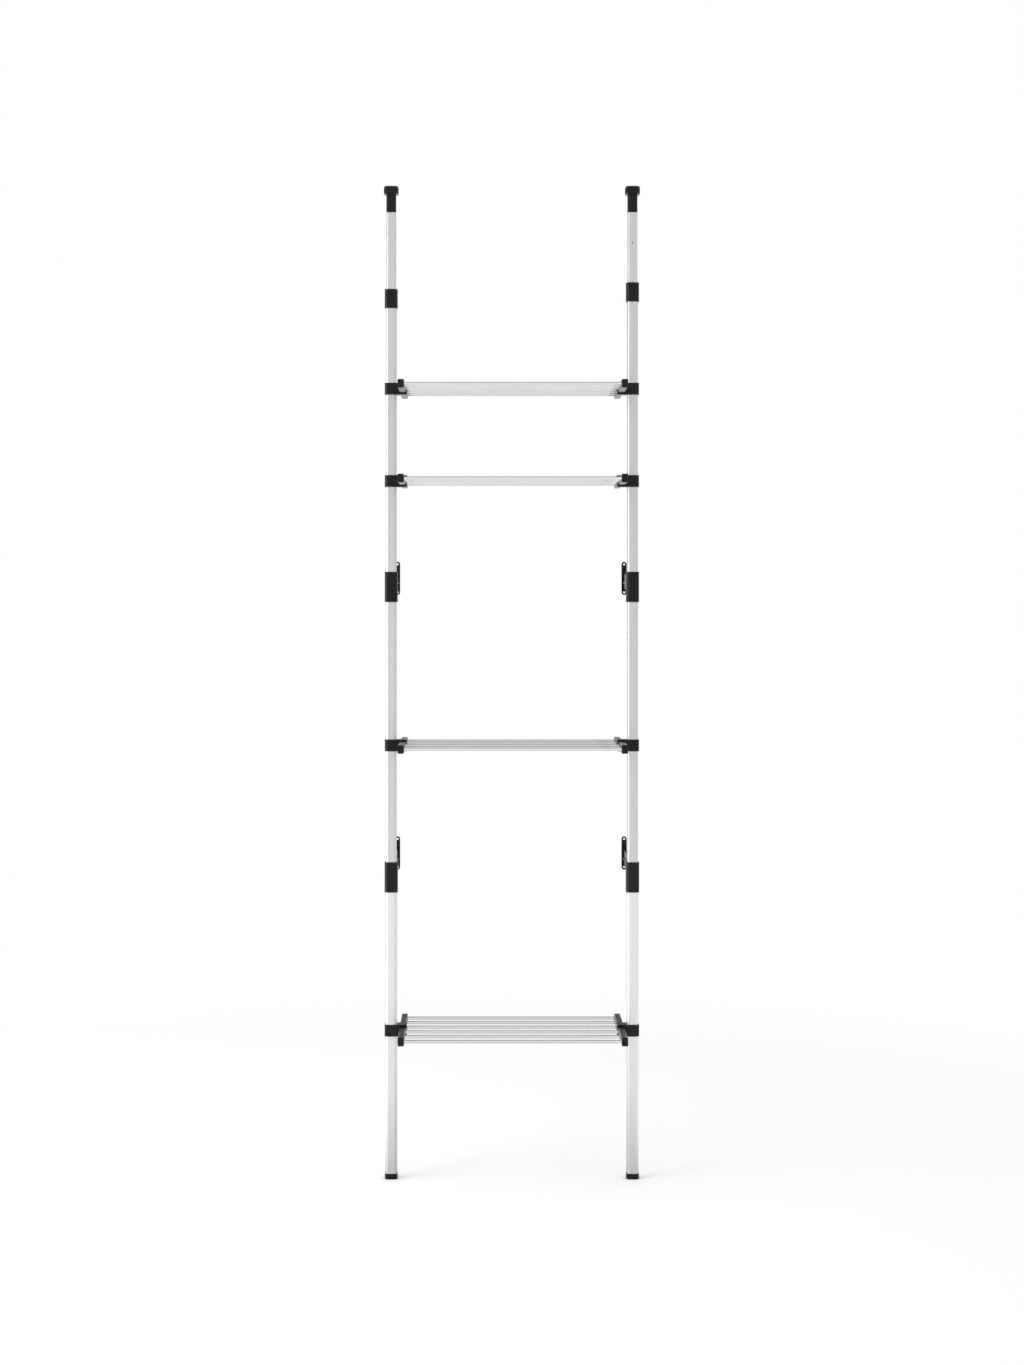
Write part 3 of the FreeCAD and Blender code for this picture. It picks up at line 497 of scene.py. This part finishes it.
def drawn_metal(name, across, dark, pale, rubbed, smooth, rough, line_depth):
    """A drawn or extruded metal, with lines in colour, gloss and relief that vary across it."""
    material = bpy.data.materials.new(name)
    make, link = cleared(material)
    draw = use_group(make, drawn_lines, Across=across)
    wear = use_group(make, edge_wear, Width=metal_edge_width)
    shader = make("ShaderNodeBsdfPrincipled")
    shader.inputs["Metallic"].default_value = 1.0
    both = make("ShaderNodeMix", data_type="FLOAT")
    both.inputs["Factor"].default_value = 0.6
    link(draw.outputs["Lines"], both.inputs["A"])
    link(draw.outputs["Clouds"], both.inputs["B"])
    tone = blend_colours(make, link, both.outputs["Result"], dark, pale)
    colour = blend_colours(make, link, wear.outputs["Worn"], tone, rubbed)
    link(colour, shader.inputs["Base Color"])
    dullness = map_range(make, link, draw.outputs["Lines"], noise_low, noise_high, smooth, rough)
    link(dullness, shader.inputs["Roughness"])
    bump = make("ShaderNodeBump")
    bump.inputs["Strength"].default_value = 0.5
    bump.inputs["Distance"].default_value = line_depth
    link(draw.outputs["Lines"], bump.inputs["Height"])
    link(wear.outputs["Rounded"], bump.inputs["Normal"])
    link(bump.outputs["Normal"], shader.inputs["Normal"])
    link(shader.outputs["BSDF"], make("ShaderNodeOutputMaterial").inputs["Surface"])
    return material


# One clear anodised finish in two copies: paler for the bottom tubes, greyer for the middle and top
# ones.  The difference between them is painted light and shade.
bright_anodised = drawn_metal(
    "bright_anodised", across=(1, 1, 0), dark=(0.79, 0.79, 0.79), pale=(0.88, 0.88, 0.88),
    rubbed=(0.93, 0.93, 0.93), smooth=0.4, rough=0.52, line_depth=0.00002)
grey_anodised = drawn_metal(
    "grey_anodised", across=(1, 1, 0), dark=(0.65, 0.65, 0.655), pale=(0.73, 0.73, 0.735),
    rubbed=(0.82, 0.82, 0.82), smooth=0.4, rough=0.52, line_depth=0.00002)


def finish_nodes(material, *names):
    """Gives solids that are shown as they are a finish of their own."""
    for name in names:
        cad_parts[name].material_slots[0].material = material


for side_name in side_of:
    finish_nodes(bright_anodised, "bottom_tube_" + side_name)
    finish_nodes(grey_anodised, "middle_tube_" + side_name, "top_tube_" + side_name)


# ---------------------------------------------------------------- glide plugs and springs
# Matt nylon plugs close the lower ends of the two inner tubes and run in the tube below.  An
# oiled steel spring stands on each upper plug, and a slit spring pin holds the plunger's slot.

glide_nylon = moulding(
    "glide_nylon", dark=(0.02, 0.02, 0.021), pale=(0.035, 0.035, 0.036), rubbed=(0.07, 0.07, 0.07),
    smooth=0.5, rough=0.62, gloss=0.4, peel_depth=0.00004)
oiled_wire = drawn_metal(
    "oiled_wire", across=(1, 1, 1), dark=(0.22, 0.22, 0.22), pale=(0.34, 0.33, 0.32),
    rubbed=(0.5, 0.5, 0.5), smooth=0.25, rough=0.45, line_depth=0.00001)
plated_steel = drawn_metal(
    "plated_steel", across=(1, 0, 1), dark=(0.42, 0.42, 0.43), pale=(0.55, 0.55, 0.56),
    rubbed=(0.68, 0.68, 0.68), smooth=0.25, rough=0.42, line_depth=0.00001)
for side_name in side_of:
    finish_nodes(glide_nylon, "middle_tube_plug_" + side_name, "top_tube_plug_" + side_name)
    finish_nodes(oiled_wire, "tension_spring_" + side_name)


def slit_ring_outline(outer, inner, place, slit=0.5, steps=28):
    """The outline of a rolled pin's section, its slit downwards."""
    turns = [(slit / 2 + (2 * math.pi - slit) * n / steps) - math.pi / 2 for n in range(steps + 1)]
    return [
        place(radius * math.cos(turn), radius * math.sin(turn))
        for radius, way in ((outer, turns), (inner, reversed(turns))) for turn in way
    ]


pin_radius, pin_bore, pin_taper = 0.002, 0.0012, 0.0004
for side_name in side_of:
    low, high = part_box("cross_pin_" + side_name)
    centre = (low + high) / 2
    stations = (
        (low.y, pin_radius - pin_taper / 2), (low.y + pin_taper, pin_radius),
        (high.y - pin_taper, pin_radius), (high.y, pin_radius - pin_taper / 2))
    pin = add_skin("spring_pin_" + side_name, [
        slit_ring_outline(radius, pin_bore, lambda u, v, y=along: (centre.x + u, y, centre.z + v))
        for along, radius in stations
    ])
    dress(pin, plated_steel, "top_pole_" + side_name, "screw_steel", "cross_pin_" + side_name)


# ---------------------------------------------------------------- collars
# Black ABS sleeves with a block down the back for the set screws, and a dovetail track on the
# tall ones.  A hair-thin moulding seam runs up both flanks, where the two mould halves met.

for side_name in side_of:
    finish_nodes(
        black_moulding, "lower_wall_collar_" + side_name, "upper_wall_collar_" + side_name,
        "lock_collar_" + side_name)


def geometry_recipe(name, inputs):
    """A Geometry Nodes tree with a mesh in, named inputs, and a mesh out."""
    tree = bpy.data.node_groups.new(name, "GeometryNodeTree")
    tree.interface.new_socket("Geometry", in_out="INPUT", socket_type="NodeSocketGeometry")
    for label, (kind, default) in inputs.items():
        socket = tree.interface.new_socket(label, in_out="INPUT", socket_type="NodeSocket" + kind)
        if default is not None:
            socket.default_value = default
    tree.interface.new_socket("Geometry", in_out="OUTPUT", socket_type="NodeSocketGeometry")
    make = node_maker(tree)
    return tree, make, tree.links.new, make("NodeGroupInput"), make("NodeGroupOutput")


def hand_out(make, link, geometry, given, result):
    """Ends a recipe: makes its copies real, gives them the finish and hands them out."""
    whole, painted = make("GeometryNodeRealizeInstances"), make("GeometryNodeSetMaterial")
    link(geometry, whole.inputs["Geometry"])
    link(whole.outputs["Geometry"], painted.inputs["Geometry"])
    link(given.outputs["Finish"], painted.inputs["Material"])
    link(painted.outputs["Geometry"], result.inputs["Geometry"])


def made_by(recipe, name, start, **values):
    """Runs a recipe on a mesh and returns an object that holds the plain result."""
    holder = add_object(name + "_start", start)
    modifier = holder.modifiers.new("recipe", "NODES")
    modifier.node_group = recipe
    for item in recipe.interface.items_tree:
        if item.in_out == "INPUT" and item.name.replace(" ", "_") in values:
            modifier[item.identifier] = values[item.name.replace(" ", "_")]
    shown = holder.evaluated_get(bpy.context.evaluated_depsgraph_get())
    mesh = bpy.data.meshes.new_from_object(shown)
    mesh.name = name
    bpy.data.objects.remove(holder)
    return add_object(name, mesh)


bead_radius = 0.00016


def build_seam_recipe():
    """A thin round bead along every edge of the mesh it is given."""
    tree, make, link, given, result = geometry_recipe(
        "moulding_seam", {"Bead Radius": ("Float", bead_radius), "Finish": ("Material", None)})
    path, section = make("GeometryNodeMeshToCurve"), make("GeometryNodeCurvePrimitiveCircle")
    section.inputs["Resolution"].default_value = 8
    bead = make("GeometryNodeCurveToMesh")
    bead.inputs["Fill Caps"].default_value = True
    link(given.outputs["Geometry"], path.inputs["Mesh"])
    link(given.outputs["Bead Radius"], section.inputs["Radius"])
    link(path.outputs["Curve"], bead.inputs["Curve"])
    link(section.outputs["Curve"], bead.inputs["Profile Curve"])
    hand_out(make, link, bead.outputs["Mesh"], given, result)
    return tree


seam_recipe = build_seam_recipe()


def flank_lines(node, flanks=(-1, 1), margin=0.0012):
    """The two ends of an upright line up each chosen flank of a sleeve on a pole."""
    low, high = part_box(node)
    return [
        ((high.x if flank > 0 else low.x, pole_y, low.z + margin),
         (high.x if flank > 0 else low.x, pole_y, high.z - margin))
        for flank in flanks
    ]


def add_seams(name, lines, body):
    """Moulding seams along the lines, as one piece that rides on the body."""
    start = bpy.data.meshes.new(name + "_start")
    start.from_pydata(
        [point for line in lines for point in line],
        [(2 * number, 2 * number + 1) for number in range(len(lines))], [])
    seams = made_by(seam_recipe, name, start, Bead_Radius=bead_radius, Finish=black_moulding)
    dress(seams, black_moulding, body, "black_plastic")


add_seams(
    "lower_collar_seams",
    [line for side_name in side_of for line in flank_lines("lower_wall_collar_" + side_name)],
    "bottom_frame")
add_seams(
    "lock_collar_seams",
    [line for side_name in side_of for line in flank_lines("lock_collar_" + side_name)],
    "middle_frame")
for side_name in side_of:
    add_seams(
        "upper_collar_seams_" + side_name, flank_lines("upper_wall_collar_" + side_name),
        "upper_collar_" + side_name)


# ---------------------------------------------------------------- set screws
# Zinc-plated M5 set screws with a hexagon socket, six millimetres long, one or two in the back
# of each collar and clamp.  Each was left at its own angle when it was done up.

screw_facets = 24
screw_angles = [2 * math.pi * facet / screw_facets for facet in range(screw_facets)]


def round_outline(radius, place):
    return [place(radius * math.cos(angle), radius * math.sin(angle)) for angle in screw_angles]


def hexagon_outline(across_flats, place):
    """A hexagon's outline, with as many points as the round outlines have."""
    sixth, outline = math.pi / 3, []
    for angle in screw_angles:
        radius = across_flats / 2 / math.cos((angle + sixth / 2) % sixth - sixth / 2)
        outline.append(place(radius * math.cos(angle), radius * math.sin(angle)))
    return outline


def set_screw_outlines():
    """One set screw from its tip at the origin to its socket, pointing along Y."""
    length, radius, key = 0.006, 0.00246, 0.0025
    tip_middle, tip_edge, tip_chamfer, head_chamfer = 0.0011, 0.0019, 0.0006, 0.0005
    threads, pitch, thread_depth, root_width = 5, 0.0009, 0.0003, 0.0001
    key_chamfer, key_depth, key_bottom = 0.0002, 0.0024, 0.0029

    def at(depth):
        return lambda u, v: (u, depth, v)

    rounds = [(tip_middle, 0.0), (tip_edge, 0.0), (radius, tip_chamfer)]
    for thread in range(threads):
        start = (thread + 1) * pitch
        root_start = start + thread_depth
        root_end = root_start + root_width
        rounds += [
            (radius, start), (radius - thread_depth, root_start),
            (radius - thread_depth, root_end), (radius, root_end + thread_depth),
        ]
    rounds += [(radius, length - head_chamfer), (radius - head_chamfer, length)]
    hexagons = [
        (key + 2 * key_chamfer, length), (key, length - key_chamfer), (key, length - key_depth),
        (key / 3, length - key_bottom),
    ]
    return (
        [round_outline(size, at(depth)) for size, depth in rounds]
        + [hexagon_outline(flats, at(depth)) for flats, depth in hexagons])


def build_screw_recipe():
    """A screw at each point, turned about its own axis by a seeded random angle."""
    tree, make, link, given, result = geometry_recipe(
        "screw_row", {"Screw": ("Object", None), "Seed": ("Int", 3), "Finish": ("Material", None)})
    pattern = make("GeometryNodeObjectInfo")
    angle = make("FunctionNodeRandomValue", data_type="FLOAT_VECTOR")
    angle.inputs["Min"].default_value = (0, 0, 0)
    angle.inputs["Max"].default_value = (0, math.pi / 3, 0)
    copies = make("GeometryNodeInstanceOnPoints")
    link(given.outputs["Screw"], pattern.inputs["Object"])
    link(given.outputs["Seed"], angle.inputs["Seed"])
    link(given.outputs["Geometry"], copies.inputs["Points"])
    link(pattern.outputs["Geometry"], copies.inputs["Instance"])
    link(angle.outputs["Value"], copies.inputs["Rotation"])
    hand_out(make, link, copies.outputs["Instances"], given, result)
    return tree


screw_recipe = build_screw_recipe()
screw_pattern = add_skin("set_screw", set_screw_outlines())
cluster_reach = 0.006
screws_in = {
    "lower_collar_screws": ("bottom_frame", 11), "lock_collar_screws": ("middle_frame", 12),
    "upper_collar_screw_left": ("upper_collar_left", 13),
    "upper_collar_screw_right": ("upper_collar_right", 14),
    "shelf_1_screws": ("shelf_1", 15), "shelf_2_screws": ("shelf_2", 16),
    "shelf_3_screws": ("shelf_3", 17), "shelf_4_screws": ("shelf_4", 18),
}


def screw_tips(node):
    """The tip of each screw in a node: the front end, along Y, of each cluster of its points."""
    clusters = []
    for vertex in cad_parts[node].data.vertices:
        spot = vertex.co
        for cluster in clusters:
            offset = cluster[0] - spot
            if abs(offset.x) < cluster_reach and abs(offset.z) < cluster_reach:
                cluster.append(spot)
                break
        else:
            clusters.append([spot])
    tips = []
    for cluster in clusters:
        low = [min(spot[axis] for spot in cluster) for axis in range(3)]
        high = [max(spot[axis] for spot in cluster) for axis in range(3)]
        tips.append(((low[0] + high[0]) / 2, low[1], (low[2] + high[2]) / 2))
    return tips


for node, (body, seed) in screws_in.items():
    start = bpy.data.meshes.new(node + "_start")
    start.from_pydata(screw_tips(node), [], [])
    screws = made_by(
        screw_recipe, "set_" + node, start, Screw=screw_pattern, Seed=seed, Finish=plated_steel)
    dress(screws, plated_steel, body, "screw_steel", node)
bpy.data.objects.remove(screw_pattern)


# ---------------------------------------------------------------- wall arms
# Ribbed black mouldings that drop into the collars' tracks from above; a narrow upright plate at
# the wall end takes two screws.

for side_name in side_of:
    finish_nodes(black_moulding, "upper_wall_arm_" + side_name, "lower_wall_arm_" + side_name)


# ---------------------------------------------------------------- ceiling plungers
# A black head, stem and shank in one moulding slides in each top tube, pushed up by the spring.
# A pad of matt rubber with square grooves is glued on its head.

pad_rubber = moulding(
    "pad_rubber", dark=(0.010, 0.010, 0.010), pale=(0.020, 0.020, 0.020),
    rubbed=(0.045, 0.045, 0.045), smooth=0.62, rough=0.8, gloss=0.2, peel_depth=0.00005)
pad_half, pad_corner, pad_top, pad_round = 0.0163, 0.0078, 0.003, 0.0024
first_groove, groove_pitch, groove_width, groove_count = 0.0128, 0.0038, 0.0014, 3
groove_flank, groove_depth, outer_squareness, inner_squareness = 0.0003, 0.0008, 2, 2.4
underside_centre, top_centre = (0.0010, 0.0004), (0.0012, 0.0005)
pad_rings = [(*underside_centre, 0.0), (pad_half, pad_corner, 0.0)]
for drop, inset in quarter_round(pad_round, steps=5):
    pad_rings.append((pad_half - inset, pad_corner - inset, pad_top - drop))
for groove in range(groove_count):
    outer = first_groove - groove * groove_pitch
    inner, groove_floor = outer - groove_width, pad_top - groove_depth
    outer_corner, inner_corner = outer / outer_squareness, outer / inner_squareness
    pad_rings += [
        (outer, outer_corner, pad_top), (outer - groove_flank, outer_corner, groove_floor),
        (inner + groove_flank, inner_corner, groove_floor), (inner, inner_corner, pad_top),
    ]
pad_rings.append((*top_centre, pad_top))
for side_name, side in side_of.items():
    finish_nodes(black_moulding, "ceiling_plunger_" + side_name)
    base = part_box("ceiling_pad_" + side_name)[0].z
    pad = add_skin(
        "grooved_pad_" + side_name, upright_rings(side * pole_x, pole_y, base, pad_rings))
    dress(pad, pad_rubber, "plunger_" + side_name, "pad_rubber", "ceiling_pad_" + side_name)


# ---------------------------------------------------------------- shelf clamps
# Black mouldings that slide on the poles: a sleeve with a square loop on its inner side, through
# which the shelf's end bar is pushed.  A thin web between the two stiffens the loop's front, and
# the seam runs up the sleeve's outer flank.

shelf_numbers = (1, 2, 3, 4)
web_reach, web_root, web_height, web_thickness, web_setback = 0.02085, 0.0003, 0.0164, 0.002, 0.0008


def middle_of(node, axis):
    """Where a node's box has its middle along the axis of that number."""
    low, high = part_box(node)
    return (low[axis] + high[axis]) / 2


def webs_of(number):
    """The webs of a shelf's clamps, each from the sleeve to the bar in the clamp's loop."""
    mesh = bpy.data.meshes.new(f"shelf_{number}_clamp_webs")
    build = bmesh.new()
    for side_name, side in side_of.items():
        low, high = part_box(f"shelf_{number}_clamp_{side_name}")
        sleeve_half = (high.x if side > 0 else -low.x) - pole_x
        near, far = sleeve_half - web_root, web_reach
        spot = Vector((
            side * (pole_x - (near + far) / 2),
            pole_y - sleeve_half + web_setback + web_thickness / 2,
            middle_of(f"shelf_{number}_end_bar_{side_name}", 2)))
        size = Vector((far - near, web_thickness, web_height))
        bmesh.ops.create_cube(build, size=1.0, matrix=Matrix.LocRotScale(spot, None, size))
    build.to_mesh(mesh)
    build.free()
    return mesh


for number in shelf_numbers:
    lines = []
    for side_name, side in side_of.items():
        clamp = f"shelf_{number}_clamp_{side_name}"
        finish_nodes(black_moulding, clamp)
        lines += flank_lines(clamp, flanks=[side])
    webs = add_object(f"shelf_{number}_clamp_webs", webs_of(number))
    dress(webs, black_moulding, f"shelf_{number}", "black_plastic")
    add_seams(f"shelf_{number}_clamp_seams", lines, f"shelf_{number}")


# ---------------------------------------------------------------- end bars
# Black bars of rectangular section that carry the shelf's tubes.  A cap with a shallow panel
# closes each end behind a fine joint, and a neck at mid length sits in the clamp's loop.

bar_half_wide, bar_half_tall, bar_corner, least_corner = 0.0075, 0.01025, 0.0025, 0.0003
bar_front, bar_back = -0.160, 0.140
neck_cut, neck_half, neck_flank = 0.0006, 0.0163, 0.0002
cap_joint, joint_width, joint_depth, joint_flank = 0.0036, 0.0005, 0.00035, 0.0001
cap_round, panel_border = 0.0008, 0.0013
# The panel's edge from its floor outwards, as (distance in from its border, depth).
panel_edge = ((0.0017, 0.0006), (0.0007, 0.0006), (0.0005, 0.0005), (0.0003, 0.0001), (0.0, 0.0))


def cap_profile():
    """The cap from its panel outwards, as (distance in from the bar's faces, and from its end)."""
    joint_end = cap_joint + joint_width
    joint = [
        (0.0, cap_joint), (joint_depth, cap_joint + joint_flank),
        (joint_depth, joint_end - joint_flank), (0.0, joint_end),
    ]
    panel = [(panel_border + distance, depth) for distance, depth in panel_edge]
    return panel + quarter_round(cap_round) + joint


def bar_outlines(centre_x, centre_z):
    """The bar's outlines from its front end to its back end."""
    stations = [(inset, bar_front + distance) for inset, distance in cap_profile()]
    stations += [
        (0.0, pole_y - neck_half - neck_flank), (neck_cut, pole_y - neck_half),
        (neck_cut, pole_y + neck_half), (0.0, pole_y + neck_half + neck_flank),
    ]
    stations += [(inset, bar_back - distance) for inset, distance in reversed(cap_profile())]
    return [
        rounded_outline(
            bar_half_wide - inset, bar_half_tall - inset, max(bar_corner - inset, least_corner),
            lambda u, v, y=along: (centre_x + u, y, centre_z + v), corner_steps=6)
        for inset, along in stations
    ]


for number in shelf_numbers:
    for side_name in side_of:
        node = f"shelf_{number}_end_bar_{side_name}"
        outlines = bar_outlines(middle_of(node, 0), middle_of(node, 2))
        bar = add_skin(f"shelf_{number}_bar_{side_name}", outlines)
        dress(bar, black_moulding, f"shelf_{number}", "black_plastic", node)


# ---------------------------------------------------------------- shelf tubes
# Six bright drawn aluminium tubes to a shelf, pressed into sockets in the end bars.  A raised
# rim round each socket stiffens it.

tube_metal = drawn_metal(
    "tube_metal", across=(0, 1, 1), dark=(0.77, 0.77, 0.77), pale=(0.86, 0.86, 0.86),
    rubbed=(0.89, 0.89, 0.89), smooth=0.06, rough=0.12, line_depth=0.000003)


def build_rim_recipe():
    """A ring round each point, its axis along X."""
    tree, make, link, given, result = geometry_recipe(
        "socket_rims", {
            "Tube Radius": ("Float", 0.004), "Rim Width": ("Float", 0.0014),
            "Rim Height": ("Float", 0.0008), "Finish": ("Material", None)})
    # The ring's middle line lies half the rim's width outside the tube.
    middle = make("ShaderNodeMath", operation="MULTIPLY_ADD")
    middle.inputs[1].default_value = 0.5
    path = make("GeometryNodeCurvePrimitiveCircle")
    section = make("GeometryNodeCurvePrimitiveQuadrilateral")
    path.inputs["Resolution"].default_value = 32
    rounded = make("GeometryNodeFilletCurve")
    rounded.mode = "POLY"
    rounded.inputs["Count"].default_value = 3
    rounded.inputs["Radius"].default_value = 0.0003
    ring = make("GeometryNodeCurveToMesh")
    turned = make("GeometryNodeTransform")
    turned.inputs["Rotation"].default_value = (0, math.pi / 2, 0)
    smooth, copies = make("GeometryNodeSetShadeSmooth"), make("GeometryNodeInstanceOnPoints")
    link(given.outputs["Rim Width"], middle.inputs[0])
    link(given.outputs["Tube Radius"], middle.inputs[2])
    link(middle.outputs[0], path.inputs["Radius"])
    link(given.outputs["Rim Width"], section.inputs["Width"])
    link(given.outputs["Rim Height"], section.inputs["Height"])
    link(section.outputs["Curve"], rounded.inputs["Curve"])
    link(path.outputs["Curve"], ring.inputs["Curve"])
    link(rounded.outputs["Curve"], ring.inputs["Profile Curve"])
    link(ring.outputs["Mesh"], turned.inputs["Geometry"])
    link(turned.outputs["Geometry"], smooth.inputs["Geometry"])
    link(given.outputs["Geometry"], copies.inputs["Points"])
    link(smooth.outputs["Geometry"], copies.inputs["Instance"])
    hand_out(make, link, copies.outputs["Instances"], given, result)
    return tree


rim_recipe = build_rim_recipe()
tube_pitch, tubes_in_shelf = 0.057, 6
for number in shelf_numbers:
    tubes = f"shelf_{number}_tubes"
    finish_nodes(tube_metal, tubes)
    tube_height = middle_of(tubes, 2)
    bar_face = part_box(f"shelf_{number}_end_bar_right")[0].x
    first_tube = pole_y - (tubes_in_shelf - 1) / 2 * tube_pitch
    spots = [
        (side * bar_face, first_tube + place * tube_pitch, tube_height)
        for side in (-1, 1) for place in range(tubes_in_shelf)
    ]
    start = bpy.data.meshes.new(f"shelf_{number}_rims_start")
    start.from_pydata(spots, [], [])
    rims = made_by(rim_recipe, f"shelf_{number}_socket_rims", start, Finish=black_moulding)
    dress(rims, black_moulding, f"shelf_{number}", "black_plastic")
